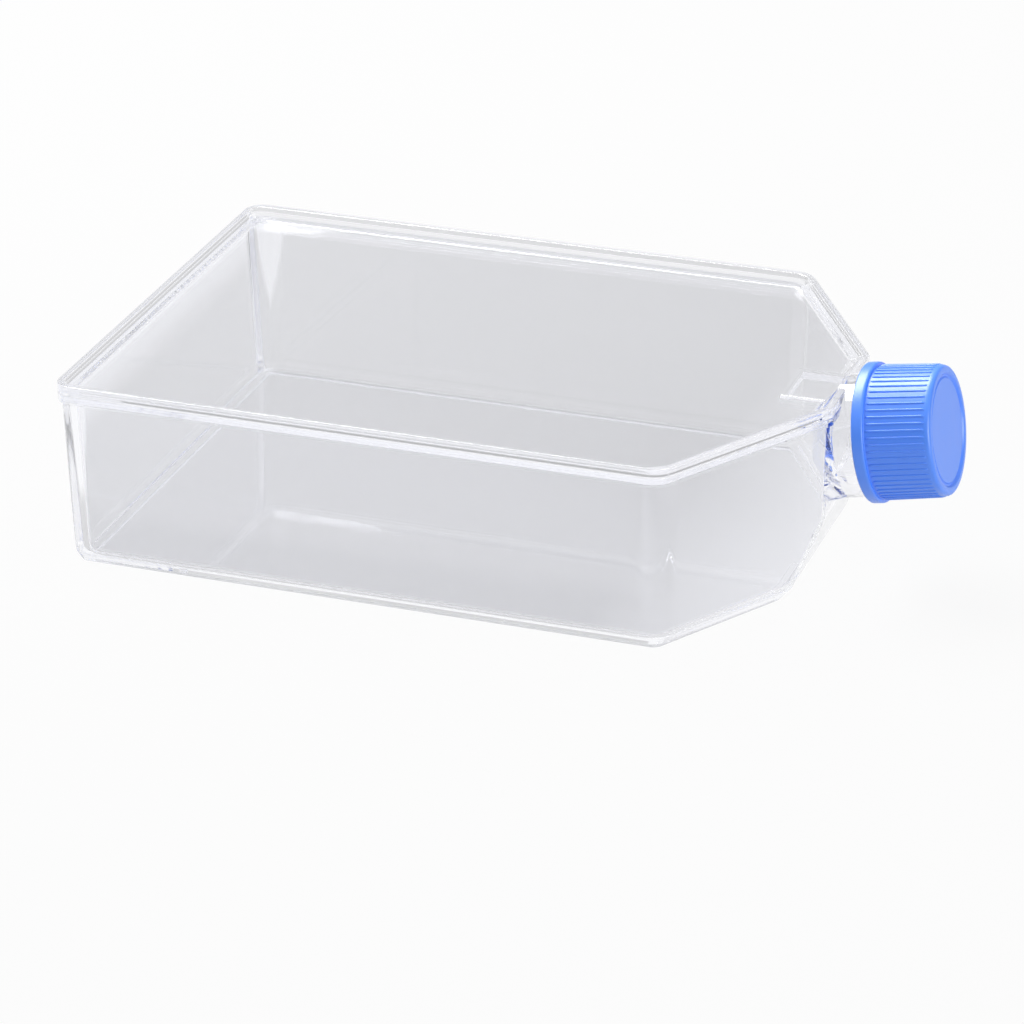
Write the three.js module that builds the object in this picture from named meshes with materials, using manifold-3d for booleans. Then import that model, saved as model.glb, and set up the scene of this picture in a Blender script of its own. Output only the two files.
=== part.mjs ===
// A stackable 225 cm2 cell culture flask: a clear moulded tray with a canted neck, the clear
// top plate welded into its mouth, and a ribbed screw cap with a plug seal.
// Millimetres, +Z up, +X from the back wall to the cap. The sizes below count X from halfway
// between the front and the back of the rim; the exported group puts the origin in the plane
// that the flask stands on, under the middle of its whole length.
import * as THREE from "three";
import { ConvexGeometry } from "three/addons/geometries/ConvexGeometry.js";
import { mergeVertices } from "three/addons/utils/BufferGeometryUtils.js";
import Module from "manifold-3d";

const wasm = await Module();
wasm.setup();
const radians = THREE.MathUtils.degToRad;

// ---- Driving sizes ----

// The rim, seen from above: a long rectangle whose front is drawn in to the neck
const rimLength = 201;
const rimWidth = 137;
const shoulderLength = 31; // the run of the two slanting shoulders, along X
const frontWidth = 36;
const backCornerRadius = 7;
const shoulderCornerRadius = 8;
const frontCornerRadius = 3;

// Heights
const flaskHeight = 53.3;
const nestingDepth = 3.4; // how far the next flask of a stack sinks inside the raised rim
const lidFlange = 2.5;
const trayFlange = 2.4;

// The tray's walls
const flangeOverhang = 0.95;
const wall = 1.5;
const wallDraft = radians(1.7);
const floor = 1.5;
const floorFillet = 3.2;
const footWidth = 2; // of the flat edge that the flask stands on, all round its underside
const footEdge = 0.4;
const slantHeight = 20.5; // the front wall leans back below this height
const slantDepth = 6.9; // and this far at the underside

// The top plate
const plate = 2;
const rimTopWidth = 2;
const rimWall = 1.25; // the raised rim's thickness where its sloping inner face meets the plate
const frontRimWall = 3.4; // the same, in front of the neck's pad
const flangeEdge = 0.4; // the small edge on both flanges' outer faces
const padLength = 14.3; // the raised pad over the end of the neck's bore, behind the front rim
const padWidth = 18.4;
const padSide = 1.6;
const padRoof = 1.1; // over the top of the bore
const leastPadRise = 0.5;

// The neck
const neckCant = radians(10);
const neckDrop = 15.1; // from the rim's top to the neck's axis, at the front of the rim
const bore = 12; // radius
const neckWall = 2.2;
const collarStep = 2.2; // how far it stands out from the neck
const collarDrop = 0.8; // its centre lies this far under the neck's axis
const collarLength = 5.6; // in front of the rim
const collarChamfer = 0.6;
const mouthRound = 0.5;
const rootBack = 2; // the root's upright edge on the shoulder wall, from the front corner
const rootReach = 1.6; // the root's end, in front of the rim
const rootFall = 12; // from the neck's axis to the root's lower edge
const gussetBack = 7.1; // its point on the shoulder wall, from the front corner
const gussetSide = 3.8; // its upper and lower corners, from the front corner
const gussetRise = 7.6; // from the neck's axis to the upper corner
const gussetFall = 4.4;

// The thread on the neck
const threadTurns = 2.25;
const threadPitch = 4.2;
const threadHeight = 1.2;
const threadBase = 2.6;
const threadCrest = 1;
const threadInset = 4.2; // from the mouth to the end of the thread

// The screw cap
const capLength = 21.1;
const capTop = 1.6;
const threadClearance = 0.6; // between the thread's crest and the skirt's inside
const skirtWall = 1.75; // at the foot of the ribs, next to the ring
const skirtRing = 3.2; // height of the smooth ring at the skirt's mouth
const skirtRingWall = 2.8;
const skirtGroove = 0.5;
const capTaper = radians(1.4);
const capEdgeRadius = 0.9;
const ribCount = 60;
const ribHeight = 0.55;
const ribEndInset = 0.7; // from the cap's end to the end of the ribs
const sealDepth = 4.6;
const sealWall = 1.3;
const faceGrooveInset = 3.65; // from the foot of the ribs
const faceGroove = 0.4;

// Clearances
const weldGap = 0.3; // between the two flanges
const seatGap = 0.3; // between every other pair of faces that touch
const stackGap = 0.2; // over the pad of a flask below

// How finely curves are cut into flats
const cornerSteps = 7;
const edgeSteps = 4;
const roundSteps = 72;

// ---- Places that follow from the sizes ----

const trayTop = flaskHeight - lidFlange - weldGap;
const flangeBottom = trayTop - trayFlange;
const plateTop = flaskHeight - nestingDepth;
const plateBottom = plateTop - plate;
const slantAngle = Math.atan(slantDepth / slantHeight);
const lidPlugInset = flangeOverhang + wall + seatGap;
const frontX = rimLength / 2;
const lidFront = frontX - lidPlugInset;
const neckHeight = flaskHeight - neckDrop;
const neckCore = bore + neckWall;
const collarRadius = neckCore + collarStep;
const capBore = neckCore + threadHeight + threadClearance;
const capRadius = capBore + skirtWall;
const skirtRingRadius = capBore + skirtRingWall;
const faceGrooveRadius = capRadius - faceGrooveInset;
const capStart = collarLength + seatGap;
const capEnd = capStart + capLength;
const neckLength = capEnd - capTop - seatGap;
const boreTop = neckHeight - lidPlugInset * Math.tan(neckCant) + bore / Math.cos(neckCant);
const padRise = Math.max(boreTop + padRoof - plateTop, leastPadRise);
const padTop = plateTop + padRise;
const recess = padRise + stackGap; // of the floor's underside, above the foot
const floorTop = recess + floor;

// ---- Solids ----

// The geometry as a manifold-3d solid.
function solid(geometry) {
  geometry.deleteAttribute("normal");
  geometry.deleteAttribute("uv");
  const merged = mergeVertices(geometry, 1e-4);
  return new wasm.Manifold(
    new wasm.Mesh({
      numProp: 3,
      vertProperties: new Float32Array(merged.attributes.position.array),
      triVerts: new Uint32Array(merged.index.array),
    }),
  );
}

// A closed solid through a row of convex rings with equal numbers of points, each counter-clockwise
// when seen from the rings that follow it.
function loft(rings) {
  const count = rings[0].length;
  const last = (rings.length - 1) * count;
  const faces = [];
  for (let ring = 0; ring < last; ring += count) {
    for (let i = 0; i < count; i++) {
      const a = ring + i;
      const b = ring + ((i + 1) % count);
      faces.push(a, b, b + count, a, b + count, a + count);
    }
  }
  for (let i = 1; i < count - 1; i++) {
    faces.push(0, i + 1, i, last, last + i, last + i + 1);
  }
  const geometry = new THREE.BufferGeometry().setFromPoints(rings.flat());
  geometry.setIndex(faces);
  return solid(geometry);
}

// A named mesh of a manifold-3d solid.
function meshOf(name, made, material) {
  const { numProp, vertProperties, triVerts } = made.getMesh();
  const geometry = new THREE.BufferGeometry();
  geometry.setAttribute("position", new THREE.BufferAttribute(vertProperties, numProp));
  geometry.setIndex(new THREE.BufferAttribute(triVerts, 1));
  geometry.computeVertexNormals();
  const mesh = new THREE.Mesh(geometry, material);
  mesh.name = name;
  return mesh;
}

// A box `width` wide across Y and centred on it.
function box(xs, width, zs) {
  const geometry = new THREE.BoxGeometry(xs[1] - xs[0], width, zs[1] - zs[0]);
  return solid(geometry.translate((xs[0] + xs[1]) / 2, 0, (zs[0] + zs[1]) / 2));
}

// ---- The rim's outline ----

// Its six sides in counter-clockwise order, each by the angle of its outward normal, its distance
// from the origin and the radius of the corner where it ends.
const shoulderAngle = Math.atan2(shoulderLength, (rimWidth - frontWidth) / 2);
const shoulderReach =
  frontX * Math.cos(shoulderAngle) + (frontWidth / 2) * Math.sin(shoulderAngle);
const front = { angle: 0, reach: frontX, endRadius: frontCornerRadius };
const nearShoulder = {
  angle: -shoulderAngle,
  reach: shoulderReach,
  endRadius: frontCornerRadius,
};
const sides = [
  front,
  { angle: shoulderAngle, reach: shoulderReach, endRadius: shoulderCornerRadius },
  { angle: Math.PI / 2, reach: rimWidth / 2, endRadius: backCornerRadius },
  { angle: Math.PI, reach: rimLength / 2, endRadius: backCornerRadius },
  { angle: (Math.PI * 3) / 2, reach: rimWidth / 2, endRadius: shoulderCornerRadius },
  nearShoulder,
];

// Where two sides' lines cross once they are moved in.
function crossing(first, second, firstInset, secondInset) {
  const a = first.reach - firstInset;
  const b = second.reach - secondInset;
  const turn = Math.sin(second.angle - first.angle);
  return new THREE.Vector2(
    (a * Math.sin(second.angle) - b * Math.sin(first.angle)) / turn,
    (b * Math.cos(first.angle) - a * Math.cos(second.angle)) / turn,
  );
}

// The outline at height z, moved in by `inset`, and by `frontInset` at its front side.
function outline(z, inset, frontInset = inset) {
  return sides.flatMap((side, i) => {
    const next = sides[(i + 1) % sides.length];
    const radius = Math.max(side.endRadius - inset, 1);
    const insetOf = (s) => (s === front ? frontInset : inset) + radius;
    const centre = crossing(side, next, insetOf(side), insetOf(next));
    const turn = Math.atan2(Math.sin(next.angle - side.angle), Math.cos(next.angle - side.angle));
    return Array.from({ length: cornerSteps + 1 }, (_, step) => {
      const angle = side.angle + (turn * step) / cornerSteps;
      return new THREE.Vector3(
        centre.x + radius * Math.cos(angle),
        centre.y + radius * Math.sin(angle),
        z,
      );
    });
  });
}

// ---- The neck's own frame: +Z along its axis, from the front of the rim ----

const neckFrame = new THREE.Matrix4()
  .makeRotationY(Math.PI / 2 - neckCant)
  .setPosition(frontX, 0, neckHeight);

// A solid of revolution about local Z, from [radius, height] pairs that start and end on the axis.
function turned(profile) {
  const points = profile.map(([radius, height]) => new THREE.Vector2(radius, height));
  return solid(new THREE.LatheGeometry(points, roundSteps).rotateX(Math.PI / 2));
}

const alongNeck = (made) => made.transform(neckFrame.toArray());

const rod = (radius, start, end) =>
  turned([
    [0, start],
    [radius, start],
    [radius, end],
    [0, end],
  ]);

// The collar's own rod, a little under the neck's axis.
const collarRod = (radius, start, end) => alongNeck(rod(radius, start, end).translate(collarDrop, 0, 0));

// ---- The flask body ----

const wallInset = (z) => flangeOverhang + Math.max(flangeBottom - z, 0) * Math.tan(wallDraft);

// The wall's outline at height z, `depth` inside its outer face. `extra` draws it in for rounded
// and tapered edges.
function wallRing(z, depth, extra = 0) {
  const inset = wallInset(z) + depth + extra;
  const slantTop = slantHeight + depth * Math.tan(slantAngle / 2);
  return outline(z, inset, inset + Math.max(slantTop - z, 0) * Math.tan(slantAngle));
}

// The rings of a quarter round that turns from a flat floor up into the wall.
function floorRound(bottom, radius, depth) {
  return Array.from({ length: edgeSteps + 1 }, (_, step) => {
    const angle = ((Math.PI / 2) * step) / edgeSteps;
    return wallRing(
      bottom + radius * (1 - Math.cos(angle)),
      depth,
      radius * (1 - Math.sin(angle)),
    );
  });
}

// The space inside the walls, carried on upwards out of the flask.
function cavity() {
  return loft([
    ...floorRound(floorTop, floorFillet, wall),
    wallRing(slantHeight + wall * Math.tan(slantAngle / 2), wall),
    wallRing(flangeBottom, wall),
    wallRing(flaskHeight * 2, wall),
  ]);
}

// How far the foot stands inside the wall's own line, so that it drops inside the rim below.
const footTaper = lidPlugInset + rimWall + seatGap - wallInset(0);

function tray() {
  return loft([
    wallRing(0, 0, footTaper + footEdge),
    wallRing(footEdge, 0, footTaper * (1 - footEdge / nestingDepth)),
    wallRing(nestingDepth, 0),
    wallRing(slantHeight, 0),
    wallRing(flangeBottom, 0),
    outline(flangeBottom, flangeEdge),
    outline(flangeBottom + flangeEdge, 0),
    outline(trayTop, 0),
  ]);
}

// What is cut from the underside: the recess inside the foot, and the way through the front of
// the foot for the pad of a flask below.
function underside() {
  const inside = footTaper + footEdge + footWidth;
  const way = box([lidFront - padLength, frontX], padWidth + 2 * seatGap, [-stackGap, recess]);
  return loft([wallRing(-stackGap, 0, inside), wallRing(recess, 0, inside)]).add(way);
}

// The collar, starting well inside the flask.
function collar() {
  const made = turned([
    [0, -shoulderLength / 3],
    [collarRadius, -shoulderLength / 3],
    [collarRadius, collarLength - collarChamfer],
    [collarRadius - collarChamfer, collarLength],
    [0, collarLength],
  ]);
  return made.translate(collarDrop, 0, 0);
}

// The plain neck and its rounded mouth.
function neckTube() {
  return turned([
    [0, 0],
    [neckCore, 0],
    [neckCore, neckLength - mouthRound],
    [neckCore - mouthRound, neckLength],
    [0, neckLength],
  ]);
}

// A ridge wound round the neck, running out to nothing at both of its ends.
function neckThread() {
  const stepsPerTurn = 40;
  const steps = Math.round(threadTurns * stepsPerTurn);
  const start = neckLength - threadInset - threadTurns * threadPitch;
  const sunk = neckWall / 4;
  const rings = Array.from({ length: steps + 1 }, (_, step) => {
    const angle = (Math.PI * 2 * step) / stepsPerTurn;
    const runOut = Math.min(1, Math.min(step, steps - step) / (stepsPerTurn / 6));
    const height = start + (threadPitch * step) / stepsPerTurn;
    const point = (along, radius) =>
      new THREE.Vector3(radius * Math.cos(angle), radius * Math.sin(angle), height + along);
    const crest = neckCore - sunk / 2 + (threadHeight + sunk / 2) * runOut;
    return [
      point(-threadBase / 2, neckCore - sunk),
      point(threadBase / 2, neckCore - sunk),
      point(threadCrest / 2, crest),
      point(-threadCrest / 2, crest),
    ];
  });
  return loft(rings);
}

// A point on a shoulder wall: `back` from its front corner, `rise` above the neck's axis and
// `depth` inside its outer face. `hand` is -1 or 1.
function onShoulder(hand, back, rise, depth = 0) {
  const z = neckHeight + rise;
  const inset = wallInset(z) + depth;
  const corner = crossing(nearShoulder, front, inset, inset);
  const x = corner.x - back * Math.sin(shoulderAngle);
  const y = corner.y - back * Math.cos(shoulderAngle);
  return new THREE.Vector3(x, -y * hand, z);
}

// The neck's root: from two upright edges on the shoulder walls to the round of the collar.
function neckRoot() {
  const top = trayTop - trayFlange / 2;
  const inside = collarRadius - seatGap / 2;
  const round = Array.from({ length: roundSteps / 2 }, (_, step) => {
    const angle = (Math.PI * 4 * step) / roundSteps;
    const point = new THREE.Vector3(inside * Math.cos(angle), inside * Math.sin(angle), rootReach);
    point.x += collarDrop;
    return point.applyMatrix4(neckFrame);
  });
  const corners = [-1, 1].flatMap((hand) => [
    onShoulder(hand, rootBack, -rootFall),
    onShoulder(hand, rootBack, top - neckHeight),
  ]);
  const under = box([0, frontX * 2], rimWidth, [0, top]);
  return solid(new ConvexGeometry([...round, ...corners])).intersect(under);
}

// The pointed fairing between one shoulder wall and the neck's root.
function gusset(hand) {
  const beside = new THREE.Vector3(collarDrop, hand * collarRadius, 0).applyMatrix4(neckFrame);
  const points = [
    onShoulder(hand, gussetBack, (gussetRise - gussetFall) / 2),
    onShoulder(hand, gussetSide, gussetRise),
    onShoulder(hand, gussetSide, -gussetFall),
    onShoulder(hand, 0, 0, wall / 2),
    beside,
  ];
  return solid(new ConvexGeometry(points));
}

function flaskBody() {
  const neck = alongNeck(neckTube().add(collar()).add(neckThread()));
  const boreHole = alongNeck(rod(bore, -shoulderLength / 3, neckLength + seatGap));
  return tray()
    .add(neck)
    .add(neckRoot())
    .add(gusset(-1))
    .add(gusset(1))
    .subtract(cavity())
    .subtract(boreHole)
    .subtract(underside());
}

// ---- The top plate ----

// The raised pad, and the channel under it that carries the top of the bore into the flask.
function pad() {
  const back = lidFront - padLength;
  const ring = (z, edge) => {
    const [x, y] = [back + edge, padWidth / 2 - edge];
    return [
      new THREE.Vector3(lidFront, y, z),
      new THREE.Vector3(x, y, z),
      new THREE.Vector3(x, -y, z),
      new THREE.Vector3(lidFront, -y, z),
    ];
  };
  return loft([ring(plateTop - plate / 2, 0), ring(padTop - flangeEdge, 0), ring(padTop, flangeEdge)]);
}

function channel() {
  const xs = [lidFront - padLength + padSide, frontX];
  return box(xs, padWidth - 2 * padSide, [plateBottom - seatGap, padTop - padRoof]);
}

function topPlate() {
  const lid = loft([
    outline(plateBottom, lidPlugInset),
    outline(trayTop + weldGap, lidPlugInset),
    outline(trayTop + weldGap, 0),
    outline(flaskHeight - flangeEdge, 0),
    outline(flaskHeight, flangeEdge),
    outline(flaskHeight, rimTopWidth),
    outline(plateTop, lidPlugInset + rimWall, lidPlugInset + frontRimWall),
  ]);
  const aroundNeck = collarRod(collarRadius + seatGap, -shoulderLength / 2, neckLength);
  const inFront = box([lidFront, frontX * 2], rimWidth, [0, flaskHeight * 2]);
  const overPad = box([0, frontX], rimWidth, [padTop, flaskHeight * 2]);
  return lid
    .subtract(aroundNeck.intersect(inFront.add(overPad)))
    .add(pad())
    .subtract(channel());
}

// ---- The screw cap, about local Z ----

// The ribs as one toothed band whose flats lie at `foot` and crests at `foot` + ribHeight.
function ribBand(start, end) {
  const ribPitch = (Math.PI * 2) / ribCount;
  const toothed = (height) => {
    const foot = capRadius - (height - start) * Math.tan(capTaper);
    const tooth = [
      [0, foot],
      [0.36, foot],
      [0.5, foot + ribHeight],
      [0.86, foot + ribHeight],
    ];
    return Array.from({ length: ribCount }, (_, rib) =>
      tooth.map(([share, radius]) => {
        const angle = (rib + share) * ribPitch;
        return new THREE.Vector3(radius * Math.cos(angle), radius * Math.sin(angle), height);
      }),
    ).flat();
  };
  return loft([toothed(start), toothed(end)]);
}

function screwCap() {
  const ringTop = capStart + skirtRing;
  const ribStart = ringTop + skirtGroove;
  const ribEnd = capEnd - ribEndInset;
  const endRadius = capRadius - (ribEnd - ribStart) * Math.tan(capTaper);
  const edge = capEdgeRadius / 2;
  const underTop = capEnd - capTop;
  const outside = turned([
    [0, capStart],
    [skirtRingRadius - edge, capStart],
    [skirtRingRadius, capStart + edge],
    [skirtRingRadius, ringTop - edge],
    [skirtRingRadius - edge, ringTop],
    [capRadius - skirtGroove / 2, ringTop],
    [endRadius - edge / 2, capEnd - edge / 2],
    [endRadius - edge * 2, capEnd],
    [faceGrooveRadius + faceGroove, capEnd],
    [faceGrooveRadius, capEnd - faceGroove],
    [faceGrooveRadius - faceGroove, capEnd],
    [0, capEnd],
  ]);
  const sealRadius = bore - seatGap;
  const inside = turned([
    [0, capStart - seatGap],
    [capBore + seatGap, capStart - seatGap],
    [capBore + seatGap, capStart],
    [capBore, capStart + seatGap * 2],
    [capBore, underTop],
    [sealRadius, underTop],
    [sealRadius, underTop - sealDepth / 2],
    [sealRadius - sealWall / 3, underTop - sealDepth],
    [sealRadius - sealWall, underTop - sealDepth],
    [sealRadius - sealWall, underTop],
    [0, underTop],
  ]);
  return outside.add(ribBand(ribStart, ribEnd)).subtract(inside);
}

// ---- The scene ----

const clearPolystyrene = new THREE.MeshStandardMaterial({
  color: 0xdfe2ea,
  roughness: 0.08,
  metalness: 0,
  transparent: true,
  opacity: 0.35,
});
const bluePolyethylene = new THREE.MeshStandardMaterial({
  color: 0x3a74f0,
  roughness: 0.42,
  metalness: 0,
});

const neckGroup = new THREE.Group();
neckGroup.applyMatrix4(neckFrame);
neckGroup.add(meshOf("screw_cap", screwCap(), bluePolyethylene));

const flask = new THREE.Group();
flask.add(meshOf("flask_body", flaskBody(), clearPolystyrene));
flask.add(meshOf("top_plate", topPlate(), clearPolystyrene));
flask.add(neckGroup);
flask.position.x = -new THREE.Box3().setFromObject(flask, true).getCenter(new THREE.Vector3()).x;

export default flask;
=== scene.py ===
# %% [markdown]
# # A stackable cell culture flask
#
# The flask is three real pieces. A clear polystyrene tray carries the neck, a clear plate is
# welded into its mouth, and a blue screw cap closes it. Everything that makes such a flask look
# right is in its edges: polystyrene bends light strongly, so each small round, step and weld line
# turns into a bright or a dark thread. The clear pieces are therefore rebuilt here with finer
# rounds than a CAD solid needs, at exactly the CAD sizes.

# %% Load the frame
import math

import bmesh
import bpy
from mathutils import Matrix, Vector


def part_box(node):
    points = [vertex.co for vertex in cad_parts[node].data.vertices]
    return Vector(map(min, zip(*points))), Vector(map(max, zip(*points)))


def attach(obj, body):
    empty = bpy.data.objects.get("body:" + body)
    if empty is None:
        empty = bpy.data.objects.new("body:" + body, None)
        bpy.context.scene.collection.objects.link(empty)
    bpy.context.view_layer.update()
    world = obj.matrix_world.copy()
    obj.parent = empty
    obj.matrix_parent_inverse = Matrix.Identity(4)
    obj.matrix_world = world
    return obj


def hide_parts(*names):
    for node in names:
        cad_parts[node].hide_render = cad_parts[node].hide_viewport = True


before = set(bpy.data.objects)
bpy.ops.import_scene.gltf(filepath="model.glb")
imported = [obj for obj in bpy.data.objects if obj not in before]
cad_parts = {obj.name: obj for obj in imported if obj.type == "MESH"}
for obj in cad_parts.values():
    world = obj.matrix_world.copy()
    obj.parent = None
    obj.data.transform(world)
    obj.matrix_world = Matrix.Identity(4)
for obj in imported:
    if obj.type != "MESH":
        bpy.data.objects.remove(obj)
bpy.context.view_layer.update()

# %% [markdown]
# The camera comes first. It looks down on the near long side from the right, through a long lens,
# so that the rim's far side is hardly smaller than its near side. The three rows below are the
# camera's right, up and backward directions.

# %% The camera
VIEW_RIGHT = (0.94104, 0.33806, -0.01245)
VIEW_UP = (-0.13690, 0.41424, 0.89981)
VIEW_BACK = (0.30935, -0.84506, 0.43609)
VIEW_POSITION = (0.35618, -1.0015, 0.5171)
LENS = 150.6  # millimetres, on a sensor 36 wide


def add_camera():
    data = bpy.data.cameras.new("view")
    data.lens = LENS
    data.sensor_width = 36
    data.clip_start = 0.01
    data.clip_end = 30
    camera = bpy.data.objects.new("view", data)
    bpy.context.scene.collection.objects.link(camera)
    turn = Matrix((VIEW_RIGHT, VIEW_UP, VIEW_BACK)).transposed()
    camera.matrix_world = Matrix.Translation(VIEW_POSITION) @ turn.to_4x4()
    bpy.context.scene.camera = camera
    return camera


add_camera()
print("camera", round(Vector(VIEW_POSITION).length, 3), "m from the origin")

# %% [markdown]
# The sizes are the CAD part's, in millimetres, with X counted from the middle of the rim. The rim
# is a long rectangle whose front is drawn in to the neck, and every wall follows it at some inset.

# %% Sizes of the flask
MM = 0.001
RIM_LENGTH = 201
RIM_WIDTH = 137
SHOULDER_LENGTH = 31
FRONT_WIDTH = 36
BACK_RADIUS = 5
SHOULDER_RADIUS = 8
FRONT_RADIUS = 3

FLASK_HEIGHT = 53.3
NESTING_DEPTH = 3.4
LID_FLANGE = 2.5
TRAY_FLANGE = 2.4
FLANGE_OVERHANG = 0.95
WALL = 1.5
WALL_DRAFT = math.radians(1.7)
FLOOR = 1.5
FLOOR_FILLET = 3.2
FOOT_WIDTH = 2.4
SLANT_HEIGHT = 20.5
SLANT_DEPTH = 6.9

PLATE = 2
RIM_TOP = 2
RIM_WALL = 1.25
FRONT_RIM_WALL = 3.4
PAD_LENGTH = 14.3
PAD_WIDTH = 18.4
PAD_SIDE = 1.6
PAD_ROOF = 1.1

WELD_GAP = 0.3
SEAT_GAP = 0.3
STACK_GAP = 0.2
print("rim", RIM_LENGTH, "by", RIM_WIDTH, "mm, flask", FLASK_HEIGHT, "mm high")

# %% Sizes of the neck and the cap
CANT = math.radians(10)
NECK_DROP = 15.1
BORE = 12
NECK_CORE = 14.2
COLLAR = 16.4
COLLAR_DROP = 0.8
COLLAR_LENGTH = 5.6
ROOT_BACK = 2
ROOT_REACH = 0
ROOT_FALL = 12
GUSSET_BACK = 7.1
GUSSET_SIDE = 3.8
GUSSET_RISE = 7.6
GUSSET_FALL = 4.4

THREAD_TURNS = 2.25
THREAD_PITCH = 4.2
THREAD_HEIGHT = 1.2
THREAD_BASE = 2.6
THREAD_CREST = 1
THREAD_INSET = 4.2

CAP_START = COLLAR_LENGTH + SEAT_GAP
CAP_END = CAP_START + 21.1
CAP_TOP = 1.6
CAP_BORE = 16
CAP_RADIUS = 17.75
CAP_RING = 18.8
CAP_RING_HEIGHT = 3.2
CAP_TAPER = math.radians(1.4)
RIB_COUNT = 60
RIB_HEIGHT = 0.36
print("bore", BORE * 2, "mm wide, cap", CAP_RING * 2, "mm across its ring")

# %% Places that follow from the sizes
TRAY_TOP = FLASK_HEIGHT - LID_FLANGE - WELD_GAP
FLANGE_BOTTOM = TRAY_TOP - TRAY_FLANGE
PLATE_TOP = FLASK_HEIGHT - NESTING_DEPTH
PLATE_BOTTOM = PLATE_TOP - PLATE
PLUG_INSET = FLANGE_OVERHANG + WALL + SEAT_GAP
FRONT = RIM_LENGTH / 2
LID_FRONT = FRONT - PLUG_INSET
NECK_HEIGHT = FLASK_HEIGHT - NECK_DROP
NECK_LENGTH = CAP_END - CAP_TOP - SEAT_GAP
PAD_TOP = NECK_HEIGHT - PLUG_INSET * math.tan(CANT) + BORE / math.cos(CANT) + PAD_ROOF
RECESS = PAD_TOP - PLATE_TOP + STACK_GAP
FLOOR_TOP = RECESS + FLOOR
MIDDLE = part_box("flask_body")[0].x / MM + FRONT
print("rim's middle at x", round(MIDDLE, 2), "mm")
print("pad top", round(PAD_TOP, 2), "mm, growth floor", round(FLOOR_TOP, 2), "mm")

# %% [markdown]
# The outline helper gives one closed ring of points at a height. Corner rounds shrink with the
# inset, as they do on nested walls of a real moulding, and the front side can have an inset of its
# own, because the front wall leans back and the rim is thicker in front of the neck.

# %% The rim's outline
CORNER_STEPS = 12
SHOULDER_ANGLE = math.atan2(SHOULDER_LENGTH, (RIM_WIDTH - FRONT_WIDTH) / 2)
SHOULDER_REACH = FRONT * math.cos(SHOULDER_ANGLE) + FRONT_WIDTH / 2 * math.sin(SHOULDER_ANGLE)
FRONT_SIDE = (0, FRONT, FRONT_RADIUS)
NEAR_SHOULDER = (-SHOULDER_ANGLE, SHOULDER_REACH, FRONT_RADIUS)
SIDES = [
    FRONT_SIDE,
    (SHOULDER_ANGLE, SHOULDER_REACH, SHOULDER_RADIUS),
    (math.pi / 2, RIM_WIDTH / 2, BACK_RADIUS),
    (math.pi, FRONT, BACK_RADIUS),
    (math.pi * 1.5, RIM_WIDTH / 2, SHOULDER_RADIUS),
    NEAR_SHOULDER,
]


def crossing(first, second, first_inset, second_inset):
    """Where the lines of two sides cross once they are moved in."""
    a, b = first[1] - first_inset, second[1] - second_inset
    turn = math.sin(second[0] - first[0])
    x = (a * math.sin(second[0]) - b * math.sin(first[0])) / turn
    y = (b * math.cos(first[0]) - a * math.cos(second[0])) / turn
    return x, y


def outline(inset, front_inset, z, rounder=(0,) * 6):
    """One counter-clockwise ring of the rim's outline, moved in by the insets."""
    ring = []
    for i, side in enumerate(SIDES):
        following = SIDES[(i + 1) % len(SIDES)]
        radius = max(side[2] - inset, 1) + rounder[i]
        insets = [(front_inset if s is FRONT_SIDE else inset) + radius for s in (side, following)]
        x, y = crossing(side, following, *insets)
        turn = (following[0] - side[0] + math.pi) % math.tau - math.pi
        for step in range(CORNER_STEPS + 1):
            angle = side[0] + turn * step / CORNER_STEPS
            ring.append((x + radius * math.cos(angle), y + radius * math.sin(angle), z))
    return ring


def softened(points, steps=4):
    """A profile with a round at each point: points are (coordinates, reach of the round)."""
    made = []
    for i, (point, reach) in enumerate(points):
        point = Vector(point)
        if not reach or i in (0, len(points) - 1):
            made.append(point)
            continue
        before, after = Vector(points[i - 1][0]), Vector(points[i + 1][0])
        start = point + (before - point).normalized() * min(reach, (before - point).length * 0.49)
        end = point + (after - point).normalized() * min(reach, (after - point).length * 0.49)
        for step in range(steps + 1):
            t = step / steps
            made.append(start * (1 - t) ** 2 + point * 2 * t * (1 - t) + end * t * t)
    return made


print("one outline has", len(outline(0, 0, 0)), "points")

# %% [markdown]
# A loft joins rings into one closed skin. It makes the tray and the plate from outlines, and the
# neck and the cap from circles, so one helper serves every moulding. Lathing by the Screw modifier
# or bridging edge loops would do the same, but rings keep the points where the sizes say.

# %% Skins from rings
ROUND_STEPS = 144


def loft(rings):
    mesh = bmesh.new()
    rows = [[mesh.verts.new(point) for point in ring] for ring in rings]
    count = len(rings[0])
    for low, high in zip(rows, rows[1:]):
        for i in range(count):
            j = (i + 1) % count
            mesh.faces.new((low[i], low[j], high[j], high[i]))
    mesh.faces.new(list(reversed(rows[0])))
    mesh.faces.new(rows[-1])
    bmesh.ops.remove_doubles(mesh, verts=mesh.verts, dist=1e-4)
    return mesh


def circle(radius, z, steps=ROUND_STEPS):
    angles = [math.tau * i / steps for i in range(steps)]
    return [(radius * math.cos(a), radius * math.sin(a), z) for a in angles]


def turned(profile, steps=ROUND_STEPS):
    """A solid of revolution about Z from (radius, height) points, closed by flat ends."""
    return loft([circle(radius, height, steps) for radius, height in profile])


def hull(points):
    mesh = bmesh.new()
    for point in points:
        mesh.verts.new(point)
    made = bmesh.ops.convex_hull(mesh, input=mesh.verts)
    spare = made["geom_interior"] + made["geom_unused"]
    loose = [item for item in spare if isinstance(item, bmesh.types.BMVert)]
    bmesh.ops.delete(mesh, geom=loose, context="VERTS")
    return mesh


def block(x0, x1, width, z0, z1):
    corners = [(x1, width / 2), (x0, width / 2), (x0, -width / 2), (x1, -width / 2)]
    return loft([[(x, y, z) for x, y in corners] for z in (z0, z1)])


print("circles have", ROUND_STEPS, "steps")

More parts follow.
